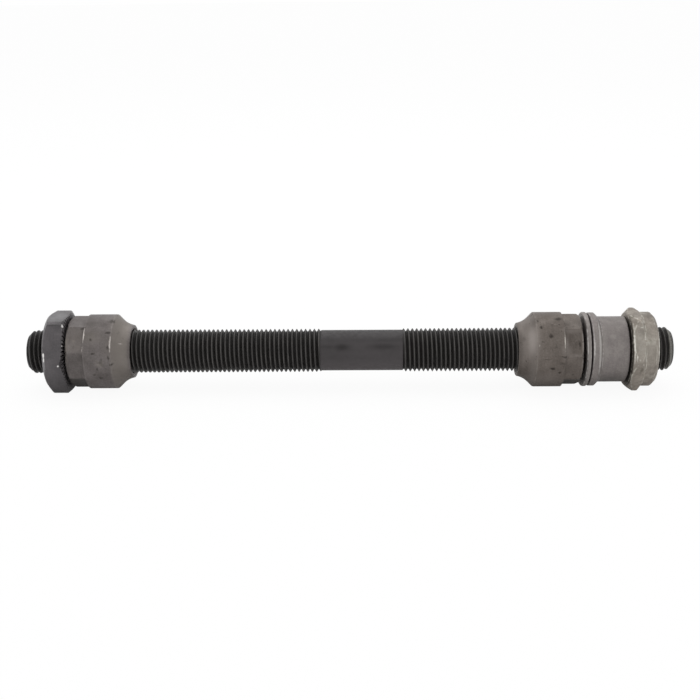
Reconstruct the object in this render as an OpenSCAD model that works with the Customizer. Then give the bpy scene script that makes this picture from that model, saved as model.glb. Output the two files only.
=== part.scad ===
// Rear hub axle for a quick release wheel, lying on the lower flats of its two locknuts.
// The axle runs along X, with the sprocket side towards +X. The origin is the middle of the axle.
// From left to right: locknut, cone, plain middle of the axle, cone, washer, spacer, locknut.
// The nuts are loose on the axle, with small gaps between the pieces of each stack.

/* [Axle] */
// Length of the axle from end to end
axle_length = 145; // [138:1:155]
// Outside diameter over the thread crests
thread_diameter = 9.85; // [9.6:0.05:9.95]
// Diameter of the plain middle that the thread rolling left bare
shank_diameter = 9.2; // [8.8:0.05:9.4]
// Length of the plain middle
shank_length = 18; // [6:1:30]
// Distance of the plain middle's centre from the middle of the axle, towards the sprocket side
shank_offset = 3.05; // [-6:0.05:6]
// Diameter of the through bore for the skewer
skewer_bore = 5.3; // [5.1:0.1:6]
// Length of the chamfer on each end of the axle
axle_chamfer = 1; // [0.4:0.1:1.2]

/* [Left locknut] */
// Thread that stands out beyond the left locknut
left_stub = 4.7; // [3:0.1:6]
// Distance across the flats of both locknuts
locknut_flats = 17; // [16:0.1:18]
// Diameter to which the hexagon corners are turned down
locknut_corners = 19.05; // [18.8:0.05:19.6]
// Thickness of the left locknut
left_nut_thickness = 4.7; // [3.6:0.1:5.4]
// Diameter of the flat ring on its outer face, inside the chamfer
left_nut_outer_face = 16.5; // [15.6:0.1:17]
// Angle of the chamfer on its outer face, from the face
left_nut_outer_chamfer = 37; // [15:1:45]
// Diameter of its toothed inner face, inside the chamfer
left_nut_inner_face = 16.8; // [16:0.1:17.2]
// Angle of the chamfer on its inner face, from the face
left_nut_inner_chamfer = 27; // [10:1:40]

/* [Locking teeth] */
// Number of radial teeth round a locknut face
tooth_count = 60; // [36:4:72]
// Depth of the grooves between the teeth
tooth_depth = 0.4; // [0.15:0.05:0.5]
// Width of the flat top of a tooth at the inner end of the ring
tooth_land = 0.12; // [0.06:0.02:0.3]
// Inner diameter of the ring of teeth
tooth_ring_inner = 11.6; // [11:0.2:13]

/* [Cones] */
// Length of a cone from its outer end to its nose
cone_length = 14; // [12.5:0.1:15]
// Outside diameter of a cone
cone_diameter = 16.9; // [16.2:0.1:17.6]
// Diameter of a cone's outer end face, inside its chamfer
cone_end_face = 15.2; // [14.4:0.1:16]
// Diameter of the nose, where the ball track ends
nose_diameter = 12; // [11.4:0.1:12.4]
// Length of the ball track along the axle
track_length = 3.7; // [3.3:0.05:4.2]
// Radius of the hollow that the balls run in
track_radius = 5; // [4:0.1:8]
// Number of wrench flats round a cone
cone_flat_count = 8; // [6:2:10]
// Distance across the wrench flats of a cone
cone_flats = 15; // [14.4:0.1:15.6]
// Length of the wrench flats along the axle
cone_flat_length = 4; // [3:0.1:5]
// Turn of the left cone about the axle
left_cone_turn = 29; // [0:1:45]
// Turn of the right cone about the axle
right_cone_turn = 37.5; // [0:0.5:45]

/* [Washer and spacer] */
// Outside diameter of the washer
washer_diameter = 16.8; // [15:0.1:17.5]
// Thickness of the washer
washer_thickness = 1; // [0.6:0.1:1.6]
// Length of the spacer, with its flange
spacer_length = 8.2; // [6:0.1:10]
// Diameter of the spacer's tube
spacer_diameter = 14.8; // [13:0.05:15]
// Diameter of the spacer's flange
flange_diameter = 16.6; // [16.3:0.1:17.5]
// Thickness of the flange at its rim
flange_thickness = 1.3; // [0.8:0.1:2]
// Slope of the flange's shoulder down to the tube, from the axle line
flange_slope = 45; // [30:5:60]
// Bore of the washer and the spacer
spacer_bore = 10.2; // [10.05:0.05:10.8]

/* [Right locknut] */
// Thread that stands out beyond the right locknut
right_stub = 4; // [3:0.1:6]
// Length of the right locknut
right_nut_length = 6.1; // [5.4:0.1:7]
// Length of its hexagon, with the chamfers at both ends
right_nut_hex_length = 3.1; // [2.9:0.1:4]
// Diameter of the round end beyond the hexagon
right_nut_round = 16.75; // [16:0.05:16.9]
// Diameter of the small face that meets the spacer
right_nut_inner_face = 16.4; // [15.6:0.1:16.8]
// Angle of the chamfer on the outer side of the hexagon, from the face
right_nut_outer_chamfer = 35; // [20:1:45]
// Chamfer on the rim of the round end
right_nut_rim_chamfer = 0.8; // [0.2:0.1:1]

/* [Fits and gaps] */
// Radial clearance of the turning pieces on the thread crests
thread_clearance = 0.05; // [0.02:0.01:0.08]
// Countersink at each mouth of a tapped bore
bore_countersink = 0.35; // [0.1:0.05:0.5]
// Gap between the left locknut and the left cone
left_gap = 0.3; // [0.2:0.05:1]
// Gap between the right cone and the washer
cone_gap = 0.65; // [0.3:0.05:1]
// Gap between the washer and the spacer
washer_gap = 0.35; // [0.3:0.05:1]
// Gap between the spacer and the right locknut
spacer_gap = 0.3; // [0.3:0.05:1]

/* [Hidden] */
$fn = 120;
hex_sides = 6;
// Pieces that cut or are cut reach this far past the surface
past = 1;
// Small edge breaks on turned pieces
edge_break = 0.2;
// Facets of a full circle for the hollow of a ball track
hollow_facets = 72;

axle_end = axle_length / 2;
thread_r = thread_diameter / 2;
shank_r = shank_diameter / 2;
shank_left = shank_offset - shank_length / 2;
shank_right = shank_offset + shank_length / 2;
// The thread fades out into the plain middle over this length
runout = thread_r - shank_r;
tapped_r = thread_r + thread_clearance;

left_nut_outer = -axle_end + left_stub;
left_nut_inner = left_nut_outer + left_nut_thickness;
left_cone_end = left_nut_inner + left_gap;
right_nut_outer = axle_end - right_stub;
right_nut_inner = right_nut_outer - right_nut_length;
spacer_right = right_nut_inner - spacer_gap;
spacer_left = spacer_right - spacer_length;
washer_right = spacer_left - washer_gap;
washer_left = washer_right - washer_thickness;
right_cone_end = washer_left - cone_gap;

cone_r = cone_diameter / 2;
nose_r = nose_diameter / 2;
track_depth = cone_r - nose_r;
// The flank falls at this angle from the rim of the cone, then the hollow of the ball track takes over
flank_angle = 45;
// Slope of the ball track where it meets the nose, which makes the hollow tangent to the flank
nose_slope = flank_angle
    - acos(1 - (track_length * sin(flank_angle) - track_depth * cos(flank_angle)) / track_radius);

// A solid of revolution about the axle, from points that give the place along the axle and the radius
module turned(points) {
    rotate([0, 90, 0])
        rotate_extrude()
            polygon([for (p = points) [p[1], p[0]]]);
}

// A hexagon along the axle, with two flats level, from x0 to x1
module hexagon_bar(x0, x1) {
    translate([x0, 0, 0])
        rotate([0, 90, 0])
            rotate(180 / hex_sides)
                cylinder(d = locknut_flats / cos(180 / hex_sides), h = x1 - x0, $fn = hex_sides);
}

// The outline of a tapped bore from x0 to x1, with a countersink at each mouth, as seen from outside
function bore_outline(x0, x1) = [
    [x1, tapped_r + bore_countersink],
    [x1 - bore_countersink, tapped_r],
    [x0 + bore_countersink, tapped_r],
    [x0, tapped_r + bore_countersink]
];

// Radial grooves in the face at x, which leave a ring of locking teeth
module tooth_grooves(x) {
    half_pitch = 180 / tooth_count;
    inner = tooth_ring_inner / 2;
    half_width = inner * tan(half_pitch) - tooth_land / 2;
    for (i = [0 : tooth_count - 1])
        translate([x, 0, 0])
            rotate([360 / tooth_count * i, 0, 0])
                translate([0, 0, inner])
                    linear_extrude(locknut_corners / 2)
                        polygon([
                            [past, -half_width],
                            [past, half_width],
                            [0, half_width],
                            [-tooth_depth, 0],
                            [0, -half_width]
                        ]);
}

// Hollow rod, threaded from both ends and bare in the middle
module axle() {
    color([0.16, 0.16, 0.16])
        turned([
            [-axle_end, skewer_bore / 2],
            [-axle_end, thread_r - axle_chamfer],
            [-axle_end + axle_chamfer, thread_r],
            [shank_left - runout, thread_r],
            [shank_left, shank_r],
            [shank_right, shank_r],
            [shank_right + runout, thread_r],
            [axle_end - axle_chamfer, thread_r],
            [axle_end, thread_r - axle_chamfer],
            [axle_end, skewer_bore / 2]
        ]);
}

// Thin hexagon nut, with its toothed face towards the cone
module left_locknut() {
    corner_r = locknut_corners / 2;
    outer_face_r = left_nut_outer_face / 2;
    inner_face_r = left_nut_inner_face / 2;
    outer_rise = (corner_r - outer_face_r) * tan(left_nut_outer_chamfer);
    inner_rise = (corner_r - inner_face_r) * tan(left_nut_inner_chamfer);
    color([0.26, 0.26, 0.27])
        difference() {
            intersection() {
                turned(concat([
                    [left_nut_outer, outer_face_r],
                    [left_nut_outer + outer_rise, corner_r],
                    [left_nut_inner - inner_rise, corner_r],
                    [left_nut_inner, inner_face_r]
                ], bore_outline(left_nut_outer, left_nut_inner)));
                hexagon_bar(left_nut_outer - past, left_nut_inner + past);
            }
            tooth_grooves(left_nut_inner);
        }
}

// Half section of a cone, with its outer end at 0 and its nose at cone_length
module cone_section() {
    rim = cone_length - track_length;
    end_r = cone_end_face / 2;
    // Where the straight flank meets the hollow
    tangent_r = nose_r + track_radius * (cos(nose_slope) - cos(flank_angle));
    tangent_x = cone_length - track_radius * (sin(flank_angle) - sin(nose_slope));
    difference() {
        polygon([for (p = concat([
            [0, end_r],
            [cone_r - end_r, cone_r],
            [rim, cone_r],
            [tangent_x, tangent_r],
            [cone_length, tangent_r]
        ], bore_outline(0, cone_length))) [p[1], p[0]]]);
        translate([nose_r + track_radius * cos(nose_slope), cone_length + track_radius * sin(nose_slope)])
            circle(track_radius, $fn = hollow_facets);
    }
}

// Bearing cone along the axle from its outer end at 0, with wrench flats at that end
module cone(turn) {
    rotate([turn, 0, 0])
        rotate([0, 90, 0])
            difference() {
                rotate_extrude()
                    cone_section();
                translate([0, 0, -past])
                    linear_extrude(cone_flat_length + past)
                        difference() {
                            circle(cone_r + past);
                            circle(d = cone_flats / cos(180 / cone_flat_count), $fn = cone_flat_count);
                        }
            }
}

module left_cone() {
    color([0.42, 0.39, 0.37])
        translate([left_cone_end, 0, 0])
            cone(left_cone_turn);
}

module right_cone() {
    color([0.41, 0.37, 0.35])
        translate([right_cone_end, 0, 0])
            mirror([1, 0, 0])
                cone(right_cone_turn);
}

// Thin steel washer between the cone and the spacer
module washer() {
    r = washer_diameter / 2;
    color([0.5, 0.48, 0.47])
        turned([
            [washer_left, spacer_bore / 2],
            [washer_left, r - edge_break],
            [washer_left + edge_break, r],
            [washer_right - edge_break, r],
            [washer_right, r - edge_break],
            [washer_right, spacer_bore / 2]
        ]);
}

// Turned tube with a flange, which sets the width of the sprocket side
module spacer() {
    flange_r = flange_diameter / 2;
    tube_r = spacer_diameter / 2;
    flange_right = spacer_left + flange_thickness;
    color([0.52, 0.5, 0.5])
        turned([
            [spacer_left, spacer_bore / 2],
            [spacer_left, flange_r - edge_break],
            [spacer_left + edge_break, flange_r],
            [flange_right, flange_r],
            [flange_right + (flange_r - tube_r) / tan(flange_slope), tube_r],
            [spacer_right - edge_break, tube_r],
            [spacer_right, tube_r - edge_break],
            [spacer_right, spacer_bore / 2]
        ]);
}

// Locknut with a chamfered hexagon towards the spacer and a round end with teeth towards the frame
module right_locknut() {
    corner_r = locknut_corners / 2;
    round_r = right_nut_round / 2;
    face_r = right_nut_inner_face / 2;
    hex_end = right_nut_inner + right_nut_hex_length;
    outer_fall = (corner_r - round_r) * tan(right_nut_outer_chamfer);
    color([0.55, 0.53, 0.48])
        difference() {
            intersection() {
                turned(concat([
                    [right_nut_inner, face_r],
                    [right_nut_inner + corner_r - face_r, corner_r],
                    [hex_end - outer_fall, corner_r],
                    [hex_end, round_r],
                    [right_nut_outer - right_nut_rim_chamfer, round_r],
                    [right_nut_outer, round_r - right_nut_rim_chamfer]
                ], bore_outline(right_nut_inner, right_nut_outer)));
                hexagon_bar(right_nut_inner - past, right_nut_outer + past);
            }
            tooth_grooves(right_nut_outer);
        }
}

axle();
left_locknut();
left_cone();
right_cone();
washer();
spacer();
right_locknut();
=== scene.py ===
import math

import bmesh
import bpy
import numpy as np
from mathutils import Euler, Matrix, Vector, noise


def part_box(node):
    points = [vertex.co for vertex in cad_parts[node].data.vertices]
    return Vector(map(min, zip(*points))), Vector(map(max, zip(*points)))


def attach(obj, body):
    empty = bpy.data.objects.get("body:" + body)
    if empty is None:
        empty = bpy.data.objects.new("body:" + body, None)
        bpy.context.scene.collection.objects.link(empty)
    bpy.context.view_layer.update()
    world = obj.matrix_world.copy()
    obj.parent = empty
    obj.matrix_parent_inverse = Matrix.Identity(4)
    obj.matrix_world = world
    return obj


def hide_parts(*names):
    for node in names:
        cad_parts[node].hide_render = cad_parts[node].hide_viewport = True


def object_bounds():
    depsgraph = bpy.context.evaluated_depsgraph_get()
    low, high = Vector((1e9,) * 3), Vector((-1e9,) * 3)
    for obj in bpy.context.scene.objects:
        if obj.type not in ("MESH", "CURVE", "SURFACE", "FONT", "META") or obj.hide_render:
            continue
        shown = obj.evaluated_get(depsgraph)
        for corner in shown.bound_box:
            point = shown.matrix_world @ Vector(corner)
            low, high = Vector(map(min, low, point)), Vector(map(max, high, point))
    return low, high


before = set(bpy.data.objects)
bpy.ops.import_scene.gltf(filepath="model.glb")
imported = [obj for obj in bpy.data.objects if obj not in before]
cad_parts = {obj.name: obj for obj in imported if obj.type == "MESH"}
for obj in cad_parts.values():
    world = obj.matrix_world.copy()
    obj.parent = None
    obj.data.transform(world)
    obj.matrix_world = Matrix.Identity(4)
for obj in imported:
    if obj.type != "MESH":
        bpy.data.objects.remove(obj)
cad_low, cad_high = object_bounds()

# The axle is a hollow steel rod, blackened all over, with a bore for the skewer. Its thread is rolled from
# both ends and raises the crests above the bare middle. The nuts and cones screw onto it, the rest slides
# on. Lengths, here and below, are in millimetres, and MM turns them into Blender's metres.
MM = 0.001
THREAD_PITCH = 1.0
THREAD_DEPTH = 0.61
CREST_WIDTH = 0.13
ROOT_WIDTH = 0.17
CREST_ROUNDING = 0.05
SHANK_R = 4.6
SHANK_MIDDLE = 3.02
SHANK_HALF = 9.07
THREAD_FADE = 0.45
SHIFT_PLACES = (-6, 12, 57, 67)
THREAD_SHIFTS = (-0.52, -0.27, -0.27, -0.45)
THREAD_COLUMNS = 64
SPARE_TURNS = 3
END_CHAMFER = 1.0
SKEWER_R = 2.65
SKEWER_CHAMFER = 0.3
BORE_STOPS = (1 / 2, 1 / 100)
MERGE_DISTANCE = 0.0005
SHARP_ANGLE = math.radians(40)
BLACKENED = (0.038, 0.036, 0.035, 1)
OIL_AND_SHADE_BLACK = (0.024, 0.022, 0.022, 1)
OILED_AND_SHADED_ROOT = (0.007, 0.006, 0.005, 1)
RUBBED_CREST = (0.110, 0.104, 0.099, 1)
SHANK_BLACK = (0.050, 0.046, 0.047, 1)
SHANK_SHEEN_GREY = (0.082, 0.074, 0.076, 1)
FILED_END = (0.34, 0.33, 0.30, 1)
ROOT_OIL_AND_SHADE_RADII = (4.42, 4.6)
RUBBED_RADII = (4.78, 4.9)
SIDE_SHEEN_HEIGHTS = (3.6, 2.6)
SIDE_SHEEN = 0.42
TOP_SHADE_HEIGHTS = (2.9, 3.5)
TOP_SHADE = 0.17
UNDERSIDE_SHEEN_HEIGHTS = (-0.4, -2.4)
SMUDGE_STRENGTH = 0.8
STUB_PLACES = (68.5, 68.8)
STUB_RUB = 0.12
FILED_RING = 71.9
FILED_HALF = 0.6
FILED_RADII = (4.15, 4.3)


def add_node(tree, kind, inputs=(), **settings):
    """Adds a shader node, with its sockets set to values or linked to other sockets."""
    made = tree.nodes.new("ShaderNode" + kind)
    for field, value in settings.items():
        setattr(made, field, value)
    for socket, value in dict(inputs).items():
        if isinstance(value, bpy.types.NodeSocket):
            tree.links.new(value, made.inputs[socket])
        else:
            made.inputs[socket].default_value = value
    return made


def rising(tree, value, start, end, least=0.0, most=1.0):
    """A value that rises from least to most while the given one goes from start to end."""
    levels = {"Value": value, "From Min": start, "From Max": end, "To Min": least, "To Max": most}
    return add_node(tree, "MapRange", levels).outputs["Result"]


def patches(tree, place, per_mm, start, end, least=0.0, most=1.0, detail=3.0):
    """Random patches: a noise with so many cells per millimetre, cut to the levels from start to end."""
    cells = add_node(tree, "TexNoise", {"Vector": place, "Scale": per_mm, "Detail": detail})
    return rising(tree, cells.outputs["Fac"], start, end, least, most)


def reckon(tree, operation, *values):
    """The result of an operation of arithmetic on some values."""
    return add_node(tree, "Math", dict(enumerate(values)), operation=operation).outputs["Value"]


def lay_over(tree, under, over, where, way="MIX"):
    """Lays one colour over another where a mask says so."""
    mixed = add_node(tree, "Mix", {0: where, 6: under, 7: over}, data_type="RGBA", blend_type=way)
    return mixed.outputs[2]


def point_mark(tree, kind):
    """The mask of the marks of one kind that a piece's mesh keeps point by point."""
    return add_node(tree, "Attribute", attribute_name=kind).outputs["Fac"]


def new_finish(name, seed):
    """A new material, with a place in millimetres to draw its marks by, and the place as (x, radius)."""
    material = bpy.data.materials.new(name)
    material.use_nodes = True
    tree = material.node_tree
    metres = add_node(tree, "TexCoord").outputs["Object"]
    place = add_node(tree, "Mapping", {"Vector": metres, "Scale": (1 / MM,) * 3}).outputs["Vector"]
    shifted = add_node(tree, "Mapping", {"Vector": place, "Location": (seed, 3 * seed, 7 * seed)})
    parts = add_node(tree, "SeparateXYZ", {"Vector": place}).outputs
    flat = add_node(tree, "CombineXYZ", {"Y": parts["Y"], "Z": parts["Z"]}).outputs["Vector"]
    radius = add_node(tree, "VectorMath", {0: flat}, operation="LENGTH").outputs["Value"]
    rings = add_node(tree, "CombineXYZ", {"X": parts["X"], "Y": radius, "Z": seed}).outputs["Vector"]
    return material, tree, shifted.outputs["Vector"], rings


def set_shader(tree, colour, roughness, height, depth, metallic, specular):
    """Leads the colour, roughness and relief into the material's shader."""
    shader = tree.nodes["Principled BSDF"]
    bump = add_node(tree, "Bump", {"Height": height, "Distance": depth * MM, "Strength": 1.0})
    tree.links.new(colour, shader.inputs["Base Color"])
    tree.links.new(roughness, shader.inputs["Roughness"])
    tree.links.new(bump.outputs["Normal"], shader.inputs["Normal"])
    shader.inputs["Metallic"].default_value = metallic
    shader.inputs["Specular IOR Level"].default_value = specular


def spots_on(x, r, angle, spots):
    """Strength of the listed marks. A mark is (x, degrees, half length, half width, strength). It may
    end with two powers, for its borders along and around: 2 is soft and 8 is sharp."""
    near = np.zeros_like(x)
    for spot_x, degrees, half_length, half_width, strength, *powers in spots:
        along_power, round_power = powers or (2, 2)
        off = (angle - math.radians(degrees) + np.pi) % (2 * np.pi) - np.pi
        fall_along = np.abs((x - spot_x) / half_length) ** along_power
        fall_round = np.abs(off * r / half_width) ** round_power
        near = np.maximum(near, strength * np.exp(-(fall_along + fall_round)))
    return near


def marked_shape(points, faces, marks):
    """A bmesh of points in millimetres and of faces. Each point keeps how strong each mark is on it."""
    mesh = bpy.data.meshes.new("marked")
    mesh.from_pydata((points.reshape(-1, 3) * MM).tolist(), [], faces.reshape(-1, 4).tolist())
    for kind, strength in marks.items():
        strengths = strength.astype(np.float32).ravel()
        mesh.attributes.new(kind, "FLOAT", "POINT").data.foreach_set("value", strengths)
    shape = bmesh.new()
    shape.from_mesh(mesh)
    bpy.data.meshes.remove(mesh)
    return shape


def finish_piece(name, shape, material, body, node):
    """Turns a bmesh into a smooth piece that stands for its CAD node and rides on its body."""
    bmesh.ops.remove_doubles(shape, verts=shape.verts, dist=MERGE_DISTANCE * MM)
    bmesh.ops.recalc_face_normals(shape, faces=shape.faces)
    mesh = bpy.data.meshes.new(name)
    shape.to_mesh(mesh)
    shape.free()
    mesh.shade_smooth()
    mesh.set_sharp_from_angle(angle=SHARP_ANGLE)
    mesh.materials.append(material)
    piece = bpy.data.objects.new(name, mesh)
    bpy.context.scene.collection.objects.link(piece)
    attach(piece, body)
    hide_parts(node)


def close_bore(shape, loop, end, inward):
    """Carries the loop at an end of the axle over the end face and along the bore, nearly to the middle."""
    rings = [(end, SKEWER_R + SKEWER_CHAMFER), (end + inward * SKEWER_CHAMFER, SKEWER_R)]
    rings += [(end * stop, SKEWER_R) for stop in BORE_STOPS]
    for x, r in rings:
        grown = bmesh.ops.extrude_edge_only(shape, edges=loop)["geom"]
        corners = [g for g in grown if isinstance(g, bmesh.types.BMVert)]
        for corner in corners:
            scale = r * MM / math.hypot(corner.co.y, corner.co.z)
            corner.co = (x * MM, corner.co.y * scale, corner.co.z * scale)
        fresh = set(corners)
        loop = [g for g in grown if isinstance(g, bmesh.types.BMEdge) and fresh.issuperset(g.verts)]
    return loop


def by_height(tree, height, heights, most=1.0):
    """A value that rises to most from the first to the second of two heights in millimetres."""
    return rising(tree, height, heights[0] * MM, heights[1] * MM, most=most)


# One turn of the thread's form goes over a crest, down a flank, through a root and up the next flank. The
# mesh has a row for each point of it, and its last column meets the first one a turn further on. The small
# shifts put the crests where the photograph has them, and the spare turns are cut off at the ends.
axle_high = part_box("axle")[1]
axle_end = axle_high.x / MM
crest_r = axle_high.y / MM
flank_width = (THREAD_PITCH - CREST_WIDTH - ROOT_WIDTH) / 2
form_steps = [0] + [CREST_WIDTH / 2] * 2 + [flank_width / 2] * 2 + [ROOT_WIDTH / 2] * 2 + [flank_width / 2]
form_places = np.cumsum(form_steps)
near_root = 1 - CREST_ROUNDING
form_depths = np.array([CREST_ROUNDING, 0, CREST_ROUNDING, 0.5, near_root, 1, near_root, 0.5])
turns = int(2 * axle_end / THREAD_PITCH) + 2 * SPARE_TURNS
turn_starts = np.arange(turns)[:, None] * THREAD_PITCH
along = (turn_starts + form_places).ravel() - axle_end - SPARE_TURNS * THREAD_PITCH
column = np.arange(THREAD_COLUMNS)
thread_x = along[:, None] + THREAD_PITCH * column / THREAD_COLUMNS
thread_x = thread_x + np.interp(thread_x, SHIFT_PLACES, THREAD_SHIFTS)
thread_r = crest_r - np.tile(form_depths, turns)[:, None] * THREAD_DEPTH
fade = np.clip((np.abs(thread_x - SHANK_MIDDLE) - SHANK_HALF) / THREAD_FADE, 0, 1)
thread_r = SHANK_R + (thread_r - SHANK_R) * fade * fade * (3 - 2 * fade)
to_end = np.maximum(axle_end - np.abs(thread_x), 0)
thread_r = np.minimum(thread_r, crest_r - END_CHAMFER + to_end)
thread_angle = 2 * np.pi * column / THREAD_COLUMNS
thread_points = np.stack([thread_x, thread_r * np.cos(thread_angle), thread_r * np.sin(thread_angle)], -1)
row = np.arange(len(along) - len(form_places) - 1)[:, None] * THREAD_COLUMNS
turn_on = np.where(column + 1 == THREAD_COLUMNS, len(form_places) * THREAD_COLUMNS, 0)
beside = (column + 1) % THREAD_COLUMNS + turn_on
thread_faces = np.stack(
    [row + column, row + beside, row + beside + THREAD_COLUMNS, row + column + THREAD_COLUMNS], -1
)
smudges = (
    (-1.4, 27, 1.9, 0.8, 1.2), (8.0, 28, 3.4, 0.7, 0.9), (-4.6, 28, 2.6, 0.6, 0.7), (9.0, 48, 3.0, 0.9, 0.35),
    (-3.0, 18, 5.0, 2.4, 0.25),
)
smudged = spots_on(thread_x, thread_r, np.pi - thread_angle, smudges)
axle_shape = marked_shape(thread_points, thread_faces, {"smudged": smudged})
bore_ends = []
for side in (-1, 1):
    everything = axle_shape.verts[:] + axle_shape.edges[:] + axle_shape.faces[:]
    cut = bmesh.ops.bisect_plane(
        axle_shape, geom=everything, clear_outer=True,
        plane_co=(side * axle_end * MM, 0, 0), plane_no=(side, 0, 0),
    )
    end_loop = [g for g in cut["geom_cut"] if isinstance(g, bmesh.types.BMEdge)]
    bore_ends += close_bore(axle_shape, end_loop, side * axle_end, -side)
bmesh.ops.bridge_loops(axle_shape, edges=bore_ends)

axle_black, tree, place, rings = new_finish("blackened_thread", seed=2)
axle_places = add_node(tree, "SeparateXYZ", {"Vector": rings}).outputs
axle_x = axle_places["X"]
radius = axle_places["Y"]
height = add_node(tree, "SeparateXYZ", {"Vector": add_node(tree, "TexCoord").outputs["Object"]}).outputs["Z"]
# The roots and lower flanks are darker, partly from oil and partly as painted shade in the grooves.
thread_tone = lay_over(tree, OILED_AND_SHADED_ROOT, BLACKENED, rising(tree, radius, *ROOT_OIL_AND_SHADE_RADII))
rubbed_in_places = patches(tree, place, per_mm=0.35, start=0.3, end=0.6, least=0.45)
crest_rub = reckon(tree, "MULTIPLY", rising(tree, radius, *RUBBED_RADII), rubbed_in_places)
thread_tone = lay_over(tree, thread_tone, RUBBED_CREST, crest_rub)
thread_oil = patches(tree, place, per_mm=0.3, start=0.4, end=0.7, most=0.35)
thread_tone = lay_over(tree, thread_tone, OIL_AND_SHADE_BLACK, thread_oil)
shank_oil = patches(tree, place, per_mm=0.25, start=0.5, end=0.75, most=0.5)
shank_tone = lay_over(tree, SHANK_BLACK, OIL_AND_SHADE_BLACK, shank_oil)
# The next three layers make the shank lighter on its sides and underside and darker along its top, set by
# height: painted sheen and painted shade.
shank_tone = lay_over(tree, shank_tone, SHANK_SHEEN_GREY, by_height(tree, height, SIDE_SHEEN_HEIGHTS, SIDE_SHEEN))
shank_tone = lay_over(tree, shank_tone, OIL_AND_SHADE_BLACK, by_height(tree, height, TOP_SHADE_HEIGHTS, TOP_SHADE))
shank_tone = lay_over(tree, shank_tone, SHANK_SHEEN_GREY, by_height(tree, height, UNDERSIDE_SHEEN_HEIGHTS))
hand_smudge = reckon(tree, "MULTIPLY", point_mark(tree, "smudged"), SMUDGE_STRENGTH)
shank_tone = lay_over(tree, shank_tone, OIL_AND_SHADE_BLACK, hand_smudge)
on_shank = reckon(tree, "COMPARE", axle_x, SHANK_MIDDLE, SHANK_HALF + THREAD_FADE / 2)
axle_tone = lay_over(tree, thread_tone, shank_tone, on_shank)
axle_tone = lay_over(tree, axle_tone, RUBBED_CREST, rising(tree, axle_x, *STUB_PLACES, most=STUB_RUB))
in_ring = reckon(tree, "COMPARE", axle_x, FILED_RING, FILED_HALF)
near_end = reckon(tree, "MULTIPLY", in_ring, rising(tree, radius, *FILED_RADII))
filed_in_places = patches(tree, place, per_mm=5.0, start=0.4, end=0.55, least=0.1, most=0.45)
axle_tone = lay_over(tree, axle_tone, FILED_END, reckon(tree, "MULTIPLY", near_end, filed_in_places))
axle_rough = patches(tree, place, per_mm=1.2, start=0.3, end=0.7, least=0.42, most=0.6)
axle_relief = patches(tree, place, per_mm=5.0, start=0.3, end=0.7)
set_shader(tree, axle_tone, axle_rough, axle_relief, depth=0.01, metallic=0.3, specular=0.22)
finish_piece("axle_rod", axle_shape, axle_black, "axle", "axle")

# The two bearing cones are turned from bar and hardened, with a tapped bore, wrench flats at the outer end
# and a hollow ball track at the nose. The heat has left them warm grey, blotched and a little scaled.
CONE_NOSE_R = 6.0
TRACK_LENGTH = 3.7
TRACK_R = 5.0
FLANK_ANGLE = math.radians(45)
FLAT_COUNT = 8
FLATS_R = 7.5
FLAT_LENGTH = 4.0
CONE_END_R = 7.6
SHOULDER_RISE = 0.12
SHOULDER_MARGIN = 0.06
SHOULDER_WEAR = 0.5
TAPPED_R = 4.975
COUNTERSINK = 0.35
CONE_COLUMNS = 360
TRACK_POINTS = 12
ARC_STEPS = 4
FLAT_EDGE_WIDTH = 0.12
WEAR_WIDTH = 0.12
WORN_BELOW_FLATS = 0.4
WORN_BELOW_RIM = 0.1
LUMPS_PER_MM = 0.35
CHIPS_PER_MM = 1.7
CHIP_CONTRAST = 2
CHIP_LEVEL = 0.8
LEFT_CONE_TONES = {
    "dark": (0.116, 0.102, 0.098, 1),
    "pale": (0.160, 0.143, 0.139, 1),
    "stain": (0.048, 0.042, 0.038, 1),
    "painted_shade_tone": (0.048, 0.042, 0.038, 1),
    "polish_and_sheen": (0.205, 0.184, 0.164, 1),
    "worn": (0.30, 0.28, 0.27, 1),
    "bare": (0.55, 0.51, 0.48, 1),
}
RIGHT_CONE_TONES = {
    "dark": (0.108, 0.091, 0.080, 1),
    "pale": (0.142, 0.122, 0.108, 1),
    "stain": (0.034, 0.028, 0.024, 1),
    "painted_shade_tone": (0.034, 0.028, 0.024, 1),
    "polish_and_sheen": (0.300, 0.270, 0.250, 1),
    "worn": (0.30, 0.28, 0.26, 1),
    "bare": (0.55, 0.52, 0.47, 1),
}


def outline(corners):
    """A closed outline of corners (x, r, rounding, spans), with arcs. Gives x, r and how near an edge is."""
    spots = [np.array(corner[:2], float) for corner in corners]
    arcs = []
    for i, (_, _, rounding, _) in enumerate(corners):
        back = spots[i - 1] - spots[i]
        onward = spots[(i + 1) % len(spots)] - spots[i]
        back = back / np.linalg.norm(back)
        onward = onward / np.linalg.norm(onward)
        if rounding == 0:
            arcs.append(np.array([[*spots[i], 0.0]]))
            continue
        half = math.acos(back @ onward) / 2
        sweep = math.pi - 2 * half
        centre = spots[i] + (back + onward) / np.linalg.norm(back + onward) * rounding / math.sin(half)
        start = spots[i] + back * rounding / math.tan(half) - centre
        end = spots[i] + onward * rounding / math.tan(half) - centre
        share = np.linspace(0, 1, ARC_STEPS + 1)[:, None]
        bend = centre + (np.sin((1 - share) * sweep) * start + np.sin(share * sweep) * end) / math.sin(sweep)
        arcs.append(np.hstack([bend, np.sin(np.pi * share)]))
    points = []
    for i, corner in enumerate(corners):
        following = arcs[(i + 1) % len(arcs)][0]
        points.extend(arcs[i])
        for step in range(1, corner[3]):
            points.append(arcs[i][-1] + (following - arcs[i][-1]) * step / corner[3])
    return np.array(points).T


def soft_lower(first, second, width):
    """The lower of two radii, blended over a width where they cross, and how near that crossing is."""
    share = np.clip(0.5 + 0.5 * (second - first) / width, 0, 1)
    lower = second + (first - second) * share - width * share * (1 - share)
    return lower, np.exp(-(((first - second) / WEAR_WIDTH) ** 2))


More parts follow.
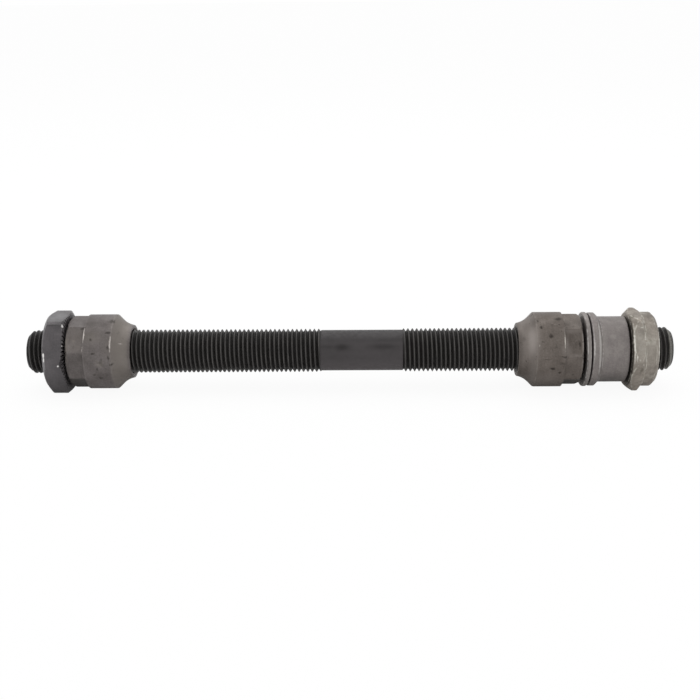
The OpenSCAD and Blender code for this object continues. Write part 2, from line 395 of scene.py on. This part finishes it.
def polygon_r(angle, sides, flats_r, first_flat):
    """Radius of a regular polygon at an angle, when one of its flats faces the angle first_flat."""
    off = (angle - first_flat + np.pi / sides) % (2 * np.pi / sides) - np.pi / sides
    return flats_r / np.cos(off)


def around_axle(x, r, angle):
    """Points round the axle line. Angles run from the photographer's side up over the top and round."""
    return np.stack([x, -np.cos(angle) * r, np.sin(angle) * r], -1)


def lathe(outline_points, columns, shaped, roughness, chips, **marks):
    """Spins an outline round the axle line, cuts it to shape, and gives it lumps, chipped edges and marks."""
    angle = 2 * np.pi * np.arange(columns) / columns
    x, r, edge = (np.repeat(values[:, None], columns, axis=1) for values in outline_points)
    if shaped:
        x, r, edge = shaped(x, r, edge, angle)
    smooth = around_axle(x, r, angle).reshape(-1, 3)
    lumps = [[noise.noise(Vector(p * LUMPS_PER_MM)), noise.noise(Vector(p * CHIPS_PER_MM))] for p in smooth]
    lumps = np.array(lumps).reshape(*x.shape, 2) * 0.5 + 0.5
    chipped = np.clip(lumps[..., 1] * CHIP_CONTRAST - CHIP_LEVEL, 0, 1)
    sunk = roughness * lumps[..., 0] + chips * edge * chipped
    r = r - np.where(r > TAPPED_R + COUNTERSINK, sunk, 0)
    ring = np.arange(x.shape[0])[:, None] * columns
    next_ring = (ring + columns) % x.size
    spoke = np.arange(columns)
    next_spoke = (spoke + 1) % columns
    faces = np.stack([ring + spoke, ring + next_spoke, next_ring + next_spoke, next_ring + spoke], -1)
    by_hand = {kind: spots_on(x, r, angle, spots) for kind, spots in marks.items()}
    return marked_shape(around_axle(x, r, angle), faces, {"edge": edge, **by_hand})


def shade(tree, tone, place, per_mm, depth, detail):
    """Varies a tone by so much, lighter and darker, after a noise."""
    level = patches(
        tree, place, per_mm, start=0.33, end=0.67, least=1 - depth, most=1 + depth, detail=detail
    )
    grey = add_node(tree, "CombineColor", {0: level, 1: level, 2: level}).outputs[0]
    return lay_over(tree, tone, grey, 1.0, "MULTIPLY")


def ragged_mark(tree, place, kind, share):
    """The mask of the marks of one kind, with borders broken up by noise."""
    raggedness = patches(tree, place, per_mm=1.6, start=0.25, end=0.75, least=-0.3, most=0.3)
    ragged = reckon(tree, "ADD", point_mark(tree, kind), raggedness)
    return rising(tree, ragged, start=0.3, end=0.85, most=share)


def steel_finish(name, seed, tones, cloud, stain_from, speck_from, ring_tone, edge_wear, rough, specular):
    """Bare or coated steel: cloudy tone, stains, specks, faint turning rings, worn edges, and marks, some of
    them painted shade, sheen and highlights.
    """
    material, tree, place, rings = new_finish(name, seed)
    clouds = patches(tree, place, cloud, start=0.35, end=0.65)
    stains = patches(tree, place, per_mm=0.45, start=stain_from, end=stain_from + 0.1, most=0.5, detail=5.0)
    specks = patches(tree, place, per_mm=1.4, start=speck_from, end=speck_from + 0.05, most=0.6, detail=2.0)
    worn_in_places = patches(tree, place, per_mm=1.1, start=0.42, end=0.62, most=edge_wear)
    tone = lay_over(tree, tones["dark"], tones["pale"], clouds)
    tone = shade(tree, tone, rings, per_mm=2.5, depth=ring_tone, detail=2.0)
    tone = shade(tree, tone, place, per_mm=3.0, depth=0.12, detail=4.0)
    # The darkest of these layers is painted shade; the polished and bare layers are partly real polish and
    # bare metal and partly painted sheen and highlights.
    layers = (
        ("polish_and_sheen", point_mark(tree, "ground_and_sheen")),
        ("painted_shade_tone", point_mark(tree, "painted_shade")),
        ("polish_and_sheen", ragged_mark(tree, place, "polish_and_sheen", share=0.6)),
        ("stain", stains),
        ("stain", specks),
        ("stain", ragged_mark(tree, place, "stain", share=0.9)),
        ("worn", reckon(tree, "MULTIPLY", point_mark(tree, "edge"), worn_in_places)),
        ("bare", ragged_mark(tree, place, "bare", share=1.0)),
    )
    for layer, where in layers:
        tone = lay_over(tree, tone, tones[layer], where)
    roughness = patches(tree, place, cloud * 2, start=0.3, end=0.7, least=rough + 0.07, most=rough - 0.07)
    grain = patches(tree, place, per_mm=4.0, start=0.2, end=0.8, detail=4.0)
    turning_rings = patches(tree, rings, per_mm=6.0, start=0.2, end=0.8)
    relief = reckon(tree, "ADD", grain, turning_rings)
    set_shader(tree, tone, roughness, relief, depth=0.012, metallic=0.5, specular=specular)
    return material


def bearing_cone(node, towards, turn, material, marks):
    """A cone with its nose to the right (1) or to the left (-1), and a corner turned by so many degrees."""
    low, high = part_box(node)
    outer_end = (low.x if towards > 0 else high.x) / MM
    nose = abs(high.x - low.x) / MM
    cone_r = high.z / MM
    rim = nose - TRACK_LENGTH
    drop = cone_r - CONE_NOSE_R
    hollow = TRACK_LENGTH * math.sin(FLANK_ANGLE) - drop * math.cos(FLANK_ANGLE)
    nose_slope = FLANK_ANGLE - math.acos(1 - hollow / TRACK_R)
    slopes = np.linspace(FLANK_ANGLE, nose_slope, TRACK_POINTS)
    track_x = nose + TRACK_R * (math.sin(nose_slope) - np.sin(slopes))
    track_r = CONE_NOSE_R + TRACK_R * (math.cos(nose_slope) - np.cos(slopes))
    corners = [
        (0, TAPPED_R + COUNTERSINK, 0.08, 6),
        (0, CONE_END_R, 0.12, 6),
        (cone_r - CONE_END_R, cone_r, 0.12, 12),
        (FLAT_LENGTH - SHOULDER_MARGIN, cone_r, 0, 4),
        (FLAT_LENGTH + SHOULDER_RISE + SHOULDER_MARGIN, cone_r, 0, 18),
        (rim, cone_r, 0.35, 2),
        *[(x, r, 0, 1) for x, r in zip(track_x[:-1], track_r[:-1])],
        (nose, CONE_NOSE_R, 0.12, 2),
        (nose, TAPPED_R + COUNTERSINK, 0.05, 1),
        (nose - COUNTERSINK, TAPPED_R, 0, 4),
        (COUNTERSINK, TAPPED_R, 0, 1),
    ]

    def shaped(x, r, edge, angle):
        flats = polygon_r(angle, FLAT_COUNT, FLATS_R, math.radians(turn) + np.pi / FLAT_COUNT)
        limit = flats + np.maximum((x - FLAT_LENGTH) / SHOULDER_RISE, 0)
        cut, crossing = soft_lower(r, limit, FLAT_EDGE_WIDTH)
        shoulder = np.exp(-(((x - FLAT_LENGTH - SHOULDER_RISE) / WEAR_WIDTH) ** 2))
        shoulder = shoulder * SHOULDER_WEAR * (r > cone_r - WORN_BELOW_RIM)
        cut_edge = np.maximum(crossing * (x < FLAT_LENGTH), shoulder)
        edge = np.where(r > FLATS_R - WORN_BELOW_FLATS, np.maximum(edge, cut_edge), edge)
        return outer_end + towards * x, cut, edge

    shape = lathe(outline(corners), CONE_COLUMNS, shaped, roughness=0.02, chips=0.06, **marks)
    finish_piece(node + "_hardened", shape, material, node, node)


left_cone_steel = steel_finish(
    "hardened_steel_left", seed=4, tones=LEFT_CONE_TONES, cloud=0.22, stain_from=0.66, speck_from=0.72,
    ring_tone=0.04, edge_wear=0.35, rough=0.5, specular=0.2,
)
# The cone's marks are partly its own stains, polish and nicks and partly painted light: the darker patches on
# the lower flats and along the top are painted shade, and the lighter upper flat and the bright lines along
# the rims and the shoulder are painted sheen and highlights.
left_cone_marks = {
    "stain": (
        (-52.8, 72, 0.7, 0.8, 1), (-53.2, 48, 0.8, 0.35, 0.9), (-57.0, 37, 0.45, 0.4, 1),
        (-53.1, 24, 0.3, 0.6, 1), (-56.5, 15, 0.6, 0.35, 0.9), (-52.9, 8, 0.3, 0.7, 0.8),
        (-52.6, -2, 0.5, 0.4, 1), (-55.6, -9, 0.3, 0.5, 0.9), (-56.4, -19, 0.35, 0.5, 0.9),
        (-55.1, -26, 0.5, 0.4, 1), (-59.0, 58, 0.9, 0.3, 0.9),
    ),
    "polish_and_sheen": ((-61.0, 37, 0.4, 0.4, 1), (-55.0, -1, 1.2, 1.2, 0.7)),
    "bare": (
        (-58.64, 44, 0.18, 2.1, 1.0), (-58.9, 23, 0.14, 1.2, 0.85), (-52.6, 29, 0.14, 2.3, 0.9),
        (-50.6, 33, 0.5, 0.12, 0.7),
    ),
    "ground_and_sheen": (
        (-50.9, 20, 1.7, 30, 0.72, 8, 8), (-60.9, 38.5, 2.2, 3.1, 0.3, 8, 8), (-51.4, 62, 1.3, 4, 0.55),
        (-56.8, 41, 2.4, 1.5, 0.46), (-53.0, 27, 1.2, 2.6, 0.26), (-62.6, 25, 0.3, 3.2, 1.0, 4, 2),
    ),
    "painted_shade": (
        (-60.9, -6.5, 2.2, 3.1, 0.3, 8, 8), (-60.9, -51.5, 2.2, 3.1, 0.9, 8, 8), (-56.8, 4, 2.1, 1.9, 0.3),
        (-50.5, -30, 1.8, 2.0, 0.12), (-55.8, 60, 3.4, 2.4, 0.34), (-57.1, 65, 2.0, 1.4, 0.65),
        (-55.5, -22, 3.4, 2.2, 0.16), (-55.8, 88, 3.4, 3.0, 0.12),
    ),
}
bearing_cone("left_cone", towards=1, turn=16, material=left_cone_steel, marks=left_cone_marks)

right_cone_steel = steel_finish(
    "hardened_steel_right", seed=9, tones=RIGHT_CONE_TONES, cloud=0.22, stain_from=0.64, speck_from=0.70,
    ring_tone=0.04, edge_wear=0.35, rough=0.52, specular=0.18,
)
# Beside real stains and the polished ball track, the darker lower flat and the other dark patches are painted
# shade, and the bright lines and lighter patches are painted sheen and highlights.
right_cone_marks = {
    "stain": (
        (46.6, 71, 0.9, 0.7, 1), (42.6, 54, 0.4, 0.6, 1), (42.1, 66, 0.3, 0.4, 0.9),
        (44.7, 39, 0.6, 0.6, 1), (42.9, 30, 0.3, 0.3, 1), (47.8, 6, 0.4, 0.3, 1),
        (45.1, -12, 0.8, 0.35, 1), (46.7, -19, 0.4, 0.35, 0.9), (43.8, 3, 1.2, 0.1, 0.9),
        (47.6, 7.5, 2.4, 0.1, 0.8), (51.0, 26, 0.4, 1.3, 0.7),
    ),
    "polish_and_sheen": ((50.4, 31, 1.6, 1.0, 0.3), (45.6, 60, 1.0, 0.6, 0.4)),
    "bare": ((47.74, 30, 0.13, 2.2, 0.9), (42.0, 22, 0.1, 3.0, 0.6)),
    "ground_and_sheen": (
        (39.9, 52, 2.05, 6.9, 0.40, 8, 4), (40.75, 33, 1.2, 4.0, 1.0), (51.8, 22, 0.22, 5, 0.8, 4, 2),
        (50.0, -15, 2.0, 2.6, 0.05, 8, 8), (41.0, 10, 0.9, 9, 0.34, 2, 4), (44.0, -32, 3.2, 2.4, 0.2),
        (48.0, 17, 1.1, 1.2, 0.42), (48.15, 26, 0.4, 2.0, 0.55), (49.2, 49, 2.0, 0.5, 0.35),
        (50.2, 8, 1.8, 0.5, 0.3),
    ),
    "painted_shade": (
        (50.0, -60, 2.1, 3.1, 0.97, 8, 8), (49.9, 30, 2.0, 3.1, 0.18, 8, 8),
        (39.9, -28, 2.1, 2.8, 0.16, 8, 2), (38.3, 15, 0.6, 8, 0.4, 2, 4), (41.6, 70, 0.8, 2.2, 0.35),
        (39.0, 66, 1.2, 1.6, 0.25), (48.5, 68, 3.0, 1.6, 0.2), (51.5, 66, 0.9, 1.8, 0.45),
        (50.2, 28, 1.0, 1.6, 0.32),
    ),
}
bearing_cone("right_cone", towards=-1, turn=7.5, material=right_cone_steel, marks=right_cone_marks)

# The left locknut is cut from hexagon bar, faced and chamfered on its outer side, and pressed with radial
# teeth on the side that locks against the cone. It is blued dark, with bright nicks on its corners.
HEX_SIDES = 6
HEX_COLUMNS = 720
TOOTH_COUNT = 60
TOOTH_DEPTH = 0.4
TOOTH_LAND = 0.12
TOOTH_RING_R = 5.8
TOOTH_FADE = 0.3
TEETH_BEGIN_R = TOOTH_RING_R + 0.01
PLAIN_FACE_END_R = TOOTH_RING_R - 0.05
OUTER_FACE_R = 8.25
OUTER_CHAMFER = math.radians(37)
TOOTHED_FACE_R = 8.4
TOOTHED_CHAMFER = math.radians(27)
CROWN_MARGIN = 0.1
WORN_INSIDE_FLATS = 0.5
WORN_OUTSIDE_FLATS = 0.2
UNWORN_BY_TEETH = 0.3
TIP_LENGTH = 0.1
TIP_BAND = 0.6
TIP_DEPTH = 0.05
BLUED_TONES = {
    "dark": (0.073, 0.067, 0.070, 1),
    "pale": (0.100, 0.091, 0.095, 1),
    "stain": (0.044, 0.042, 0.042, 1),
    "painted_shade_tone": (0.044, 0.042, 0.042, 1),
    "polish_and_sheen": (0.14, 0.135, 0.14, 1),
    "worn": (0.30, 0.29, 0.29, 1),
    "bare": (0.80, 0.78, 0.76, 1),
}


def tooth_groove(r, angle):
    """Depth of the grooves between the locking teeth at each radius and angle."""
    pitch_angle = 2 * np.pi / TOOTH_COUNT
    half_width = TOOTH_RING_R * math.tan(pitch_angle / 2) - TOOTH_LAND / 2
    off = (angle + pitch_angle / 2) % pitch_angle - pitch_angle / 2
    depth = TOOTH_DEPTH * np.clip(1 - np.abs(r * np.sin(off)) / half_width, 0, 1)
    return np.where(r >= TOOTH_RING_R, depth, 0)


def hexagon_with_teeth(flats_r, tooth_face, teeth_end_r, softness, crown, tip_wear):
    """Cuts a turned nut to a hexagon with two flats level, and teeth at tooth_face that fade out before
    teeth_end_r. The crown has no wear."""

    def shaped(x, r, edge, angle):
        cut, crossing = soft_lower(r, polygon_r(angle, HEX_SIDES, flats_r, np.pi / 2), softness)
        crossing = crossing * ((x < crown[0]) | (x > crown[1]))
        cut_edge = np.maximum(edge * (r < flats_r + WORN_OUTSIDE_FLATS), crossing)
        edge = np.where(r > flats_r - WORN_INSIDE_FLATS, cut_edge, edge)
        edge = edge * (np.abs(x - tooth_face) > UNWORN_BY_TEETH)
        groove = tooth_groove(cut, angle) * np.clip((teeth_end_r - cut) / TOOTH_FADE, 0, 1)
        on_tips = (x > tooth_face - TIP_LENGTH) & (cut > flats_r - TIP_BAND) & (groove < TIP_DEPTH)
        return np.minimum(x, tooth_face - groove), cut, np.maximum(edge, tip_wear * on_tips)

    return shaped


nut_low, nut_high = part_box("left_locknut")
nut_outer, nut_inner = nut_low.x / MM, nut_high.x / MM
nut_flats_r = nut_high.z / MM
nut_corner_r = nut_high.y / MM
outer_rise = (nut_corner_r - OUTER_FACE_R) * math.tan(OUTER_CHAMFER)
toothed_rise = (nut_corner_r - TOOTHED_FACE_R) * math.tan(TOOTHED_CHAMFER)
left_nut_corners = [
    (nut_outer, TAPPED_R + COUNTERSINK, 0.08, 6),
    (nut_outer, OUTER_FACE_R, 0.12, 8),
    (nut_outer + outer_rise, nut_corner_r, 0.1, 14),
    (nut_inner - toothed_rise, nut_corner_r, 0.08, 6),
    (nut_inner, TOOTHED_FACE_R, 0.08, 8),
    (nut_inner, TEETH_BEGIN_R, 0, 1),
    (nut_inner, PLAIN_FACE_END_R, 0, 1),
    (nut_inner, TAPPED_R + COUNTERSINK, 0.05, 1),
    (nut_inner - COUNTERSINK, TAPPED_R, 0, 4),
    (nut_outer + COUNTERSINK, TAPPED_R, 0, 1),
]
left_nut_crown = (nut_outer + outer_rise - CROWN_MARGIN, nut_inner - toothed_rise + CROWN_MARGIN)
left_nut_hexagon = hexagon_with_teeth(
    nut_flats_r, nut_inner, teeth_end_r=math.inf, softness=0.06, crown=left_nut_crown, tip_wear=0.35
)
# The darker patches on the nut are painted shade, the broad polish over the top flat is painted sheen, and
# some of the bright spots on its edges are painted glints beside real nicks.
left_nut_marks = {
    "painted_shade": ((-65.5, -62, 3.0, 4.0, 0.35), (-63.9, 62, 1.2, 1.8, 0.35), (-64.0, 2, 1.5, 1.8, 0.2)),
    "stain": ((-65.5, 57, 1.8, 0.3, 0.7), (-63.4, 35, 0.4, 1.6, 0.6)),
    "bare": (
        (-63.45, 57, 0.2, 0.45, 1.1), (-63.9, -1, 0.25, 0.22, 1), (-67.25, 13, 0.2, 0.6, 1.3),
        (-67.15, 7, 0.22, 0.7, 1.1), (-63.2, 36, 0.12, 0.22, 0.9), (-63.2, 27, 0.12, 0.2, 0.9),
        (-63.2, 12, 0.12, 0.22, 0.8),
    ),
    "polish_and_sheen": ((-66.0, 88, 2.5, 3.0, 1),),
}
left_nut_shape = lathe(
    outline(left_nut_corners), HEX_COLUMNS, left_nut_hexagon, roughness=0.01, chips=0.08, **left_nut_marks
)
blued_steel = steel_finish(
    "blued_steel", seed=6, tones=BLUED_TONES, cloud=0.18, stain_from=0.70, speck_from=0.76,
    ring_tone=0.02, edge_wear=0.5, rough=0.36, specular=0.5,
)
finish_piece("left_locknut_blued", left_nut_shape, blued_steel, "left_locknut", "left_locknut")

# The washer and the spacer are turned from plain steel tube and slide over the thread. The spacer's flange
# meets the washer and sets the width of the sprocket side.
PLAIN_COLUMNS = 240
SPACER_BORE_R = 5.1
SPACER_TUBE_R = 7.4
FLANGE_THICKNESS = 1.3
TURNED_TONES = {
    "dark": (0.195, 0.175, 0.169, 1),
    "pale": (0.230, 0.209, 0.198, 1),
    "stain": (0.11, 0.10, 0.095, 1),
    "painted_shade_tone": (0.11, 0.10, 0.095, 1),
    "polish_and_sheen": (0.27, 0.25, 0.235, 1),
    "worn": (0.42, 0.40, 0.39, 1),
    "bare": (0.50, 0.48, 0.46, 1),
}

washer_low, washer_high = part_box("washer")
washer_left, washer_right = washer_low.x / MM, washer_high.x / MM
washer_r = washer_high.z / MM
washer_corners = [
    (washer_left, SPACER_BORE_R, 0.08, 6),
    (washer_left, washer_r, 0.3, 2),
    (washer_right, washer_r, 0.3, 6),
    (washer_right, SPACER_BORE_R, 0.08, 3),
]
turned_steel = steel_finish(
    "turned_steel", seed=3, tones=TURNED_TONES, cloud=0.3, stain_from=0.68, speck_from=0.76,
    ring_tone=0.06, edge_wear=0.8, rough=0.5, specular=0.18,
)
# The lighter face is painted sheen, the darker ring and patch are painted shade, and the bright ring is a
# painted highlight.
washer_marks = {
    "ground_and_sheen": ((washer_left, 20, 3, 40, 0.55),),
    "painted_shade": ((53.0, 52, 1, 2.4, 0.25), (52.6, 10, 0.25, 9, 0.9, 4, 6)),
    "bare": ((52.68, 26, 0.14, 4.5, 0.75),),
}
washer_shape = lathe(
    outline(washer_corners), PLAIN_COLUMNS, None, roughness=0.01, chips=0.02, **washer_marks
)
finish_piece("washer_turned", washer_shape, turned_steel, "axle", "washer")

spacer_low, spacer_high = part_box("spacer")
spacer_left, spacer_right = spacer_low.x / MM, spacer_high.x / MM
flange_r = spacer_high.z / MM
flange_right = spacer_left + FLANGE_THICKNESS
spacer_corners = [
    (spacer_left, SPACER_BORE_R, 0.1, 6),
    (spacer_left, flange_r, 0.25, 3),
    (flange_right, flange_r, 0.15, 4),
    (flange_right + flange_r - SPACER_TUBE_R, SPACER_TUBE_R, 0.4, 20),
    (spacer_right, SPACER_TUBE_R, 0.2, 5),
    (spacer_right, SPACER_BORE_R, 0.1, 6),
]
# The darker patches over the top and the underside are painted shade, and the lighter patches and the bright
# rings at the flange are painted sheen and highlights.
spacer_marks = {
    "polish_and_sheen": (
        (58.5, 40, 1.0, 0.9, 0.8), (60.3, 22, 0.9, 1.6, 0.7), (57.2, 15, 1.0, 2.0, 0.7),
        (54.3, 10, 0.25, 3, 0.8),
    ),
    "bare": ((54.1, 22, 0.15, 5, 0.8), (55.48, 20, 0.22, 5.5, 2.2)),
    "ground_and_sheen": ((56.3, 28, 0.9, 3, 0.55), (59.6, 37, 1.6, 1.2, 0.25), (59.2, 5, 1.2, 1.2, 0.2)),
    "painted_shade": ((59.0, 68, 4.0, 3.6, 0.38), (59.0, -50, 4.0, 2.4, 0.55), (54.8, 8, 0.6, 2.5, 0.2)),
}
spacer_shape = lathe(
    outline(spacer_corners), PLAIN_COLUMNS, None, roughness=0.015, chips=0.02, **spacer_marks
)
finish_piece("spacer_turned", spacer_shape, turned_steel, "axle", "spacer")

# The right locknut has a short hexagon, chamfered on both sides, and a round end with radial teeth that bite
# into the frame. It is plated, and the plating has gone mottled and yellowish, with bright worn crowns.
ROUND_R = 8.375
HEX_LENGTH = 3.1
INNER_FACE_R = 8.2
HEX_OUTER_CHAMFER = math.radians(35)
RIM_CHAMFER = 0.8
TEETH_END_R = 7.5
PLATED_TONES = {
    "dark": (0.230, 0.204, 0.177, 1),
    "pale": (0.308, 0.277, 0.242, 1),
    "stain": (0.135, 0.120, 0.095, 1),
    "painted_shade_tone": (0.026, 0.022, 0.018, 1),
    "polish_and_sheen": (0.37, 0.35, 0.31, 1),
    "worn": (0.55, 0.53, 0.47, 1),
    "bare": (0.72, 0.70, 0.64, 1),
}

nut_low, nut_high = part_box("right_locknut")
nut_inner, nut_outer = nut_low.x / MM, nut_high.x / MM
nut_flats_r = nut_high.z / MM
nut_corner_r = nut_high.y / MM
hex_end = nut_inner + HEX_LENGTH
crown_left = nut_inner + nut_corner_r - INNER_FACE_R
crown_right = hex_end - (nut_corner_r - ROUND_R) * math.tan(HEX_OUTER_CHAMFER)
right_nut_corners = [
    (nut_inner, TAPPED_R + COUNTERSINK, 0.08, 6),
    (nut_inner, INNER_FACE_R, 0.15, 8),
    (crown_left, nut_corner_r, 0.15, 3),
    (crown_right, nut_corner_r, 0.15, 6),
    (hex_end, ROUND_R, 0.3, 9),
    (nut_outer - RIM_CHAMFER, ROUND_R, 0.2, 2),
    (nut_outer, ROUND_R - RIM_CHAMFER, 0.2, 7),
    (nut_outer, TEETH_BEGIN_R, 0, 1),
    (nut_outer, PLAIN_FACE_END_R, 0, 1),
    (nut_outer, TAPPED_R + COUNTERSINK, 0.05, 1),
    (nut_outer - COUNTERSINK, TAPPED_R, 0, 4),
    (nut_inner + COUNTERSINK, TAPPED_R, 0, 1),
]
right_nut_crown = (crown_left + CROWN_MARGIN, crown_right - CROWN_MARGIN)
right_nut_hexagon = hexagon_with_teeth(
    nut_flats_r, nut_outer, teeth_end_r=TEETH_END_R, softness=0.12, crown=right_nut_crown, tip_wear=0.0
)
# The dark ring on the inner chamfer is painted shade in the gap, the other darker patches are painted shade,
# and the lighter patches and bright lines along the edges are partly painted sheen and highlights, beside
# real stains and worn crowns.
right_nut_marks = {
    "stain": ((63.0, 74, 0.5, 1.2, 0.8), (66.5, 30, 0.7, 0.5, 0.7), (64.6, -14, 0.5, 1.0, 0.8)),
    "ground_and_sheen": ((66.0, 22, 3.4, 4.2, 0.28), (64.2, 24, 1.4, 3.6, 0.4)),
    "painted_shade": (
        (66.8, 84, 2.0, 2.8, 0.38), (62.48, 5, 0.26, 10.4, 0.95, 8, 8), (67.6, 70, 0.8, 1.4, 0.2),
        (64.6, 44, 1.0, 1.0, 0.16), (67.2, -20, 1.4, 2.6, 0.18),
    ),
    "polish_and_sheen": (
        (65.0, 52, 0.5, 1.0, 1), (65.2, 14, 0.35, 1.5, 1), (63.0, 33, 0.4, 2.6, 1), (64.2, 30, 1.6, 4.0, 0.6),
    ),
    "bare": (
        (62.86, 22, 0.14, 4.0, 1.1), (62.9, 50, 0.12, 1.6, 0.9), (63.3, 5, 0.12, 1.2, 0.8),
        (65.3, 5, 0.14, 1.2, 0.9), (65.1, 62, 0.12, 0.9, 0.9), (64.6, 50, 0.35, 0.12, 0.8),
        (65.15, 36, 0.1, 1.2, 0.7), (68.36, 25, 0.13, 4.5, 1.3),
    ),
}
right_nut_shape = lathe(
    outline(right_nut_corners), HEX_COLUMNS, right_nut_hexagon, roughness=0.02, chips=0.06, **right_nut_marks
)
plated_steel = steel_finish(
    "plated_steel", seed=12, tones=PLATED_TONES, cloud=0.5, stain_from=0.66, speck_from=0.74,
    ring_tone=0.03, edge_wear=1.0, rough=0.55, specular=0.12,
)
finish_piece(
    "right_locknut_plated", right_nut_shape, plated_steel, "right_locknut", "right_locknut"
)

# The table top is a pale matt board under the nuts' lower flats. A large soft lamp hangs over it, and white
# surroundings fill the rest, as on a product table. Both look white to the camera and bright in the metal.
WHITE = (1, 1, 1, 1)
TABLE_HALF = 3000
TABLE_COLOUR = (0.95, 0.95, 0.95, 1)
TABLE_ROUGHNESS = 0.7
TABLE_SPECULAR = 0.2
TABLE_WHITE_TO_CAMERA = 0.93
TABLE_WHITE_IN_METAL = 0.2
AMBIENT = 0.82
LAMP_SIZE = 500
LAMP_PLACE = (0, 200, 500)
LAMP_WATTS = 1.1


def kinds_of_ray(tree):
    """Masks of the rays that come straight from the camera, and of those that metal or glass sends on."""
    rays = add_node(tree, "LightPath").outputs
    sent_on = reckon(tree, "MAXIMUM", rays["Is Glossy Ray"], rays["Is Transmission Ray"])
    return rays["Is Camera Ray"], sent_on


bpy.ops.mesh.primitive_plane_add(size=2 * TABLE_HALF * MM, location=(0, 0, cad_low.z))
table = bpy.context.object
table.name = "table_top"
table_board = bpy.data.materials.new("table_board")
table_board.use_nodes = True
tree = table_board.node_tree
board = tree.nodes["Principled BSDF"]
board.inputs["Base Color"].default_value = TABLE_COLOUR
board.inputs["Roughness"].default_value = TABLE_ROUGHNESS
board.inputs["Specular IOR Level"].default_value = TABLE_SPECULAR
from_camera, from_metal = kinds_of_ray(tree)
white_in_metal = reckon(tree, "MULTIPLY", from_metal, TABLE_WHITE_IN_METAL)
white_to_camera = reckon(tree, "MULTIPLY", from_camera, TABLE_WHITE_TO_CAMERA)
white_share = reckon(tree, "ADD", white_in_metal, white_to_camera)
glow = add_node(tree, "Emission", {"Color": WHITE, "Strength": 1.0}).outputs["Emission"]
table_mix = add_node(tree, "MixShader", {0: white_share, 1: board.outputs["BSDF"], 2: glow})
tree.links.new(table_mix.outputs["Shader"], tree.nodes["Material Output"].inputs["Surface"])
table.data.materials.append(table_board)

surroundings = bpy.data.worlds.new("white_surroundings")
surroundings.use_nodes = True
bpy.context.scene.world = surroundings
tree = surroundings.node_tree
from_camera, from_metal = kinds_of_ray(tree)
sky = tree.nodes["Background"]
sky.inputs["Color"].default_value = WHITE
seen = reckon(tree, "MAXIMUM", from_metal, from_camera)
sky_strength = rising(tree, seen, start=0, end=1, least=AMBIENT)
tree.links.new(sky_strength, sky.inputs["Strength"])

lamp_data = bpy.data.lights.new("soft_lamp", "AREA")
lamp_data.energy = LAMP_WATTS
lamp_data.shape = "SQUARE"
lamp_data.size = LAMP_SIZE * MM
lamp = bpy.data.objects.new("soft_lamp", lamp_data)
lamp.location = Vector(LAMP_PLACE) * MM
lamp.rotation_euler = Vector(LAMP_PLACE).to_track_quat("Z", "Y").to_euler()
bpy.context.scene.collection.objects.link(lamp)

# The photograph was taken from a little above, square to the axle, from about 25 centimetres away. The
# camera's place, lens and slight roll are fitted to the outline and the near edges of the pieces.
CAMERA_SIDE = 5.155
CAMERA_DISTANCE = 252.91
CAMERA_HEIGHT_ANGLE = math.radians(19)
CAMERA_AIM = (0.322, 0.007, 0.020)
CAMERA_ROLL = math.radians(-0.652)
CAMERA_LENS = 57.2
CAMERA_SENSOR_WIDTH = 36

camera_data = bpy.data.cameras.new("camera")
camera_data.lens = CAMERA_LENS
camera_data.sensor_width = CAMERA_SENSOR_WIDTH
camera = bpy.data.objects.new("camera", camera_data)
level = CAMERA_DISTANCE * math.cos(CAMERA_HEIGHT_ANGLE)
above = CAMERA_DISTANCE * math.sin(CAMERA_HEIGHT_ANGLE)
camera.location = Vector((CAMERA_SIDE, -level, above)) * MM
aim = Vector(CAMERA_AIM) * MM - camera.location
camera.rotation_euler = (
    aim.to_track_quat("-Z", "Y").to_matrix() @ Euler((0, 0, CAMERA_ROLL)).to_matrix()
).to_euler()
bpy.context.scene.collection.objects.link(camera)
bpy.context.scene.camera = camera
bpy.context.scene.view_settings.view_transform = "Standard"
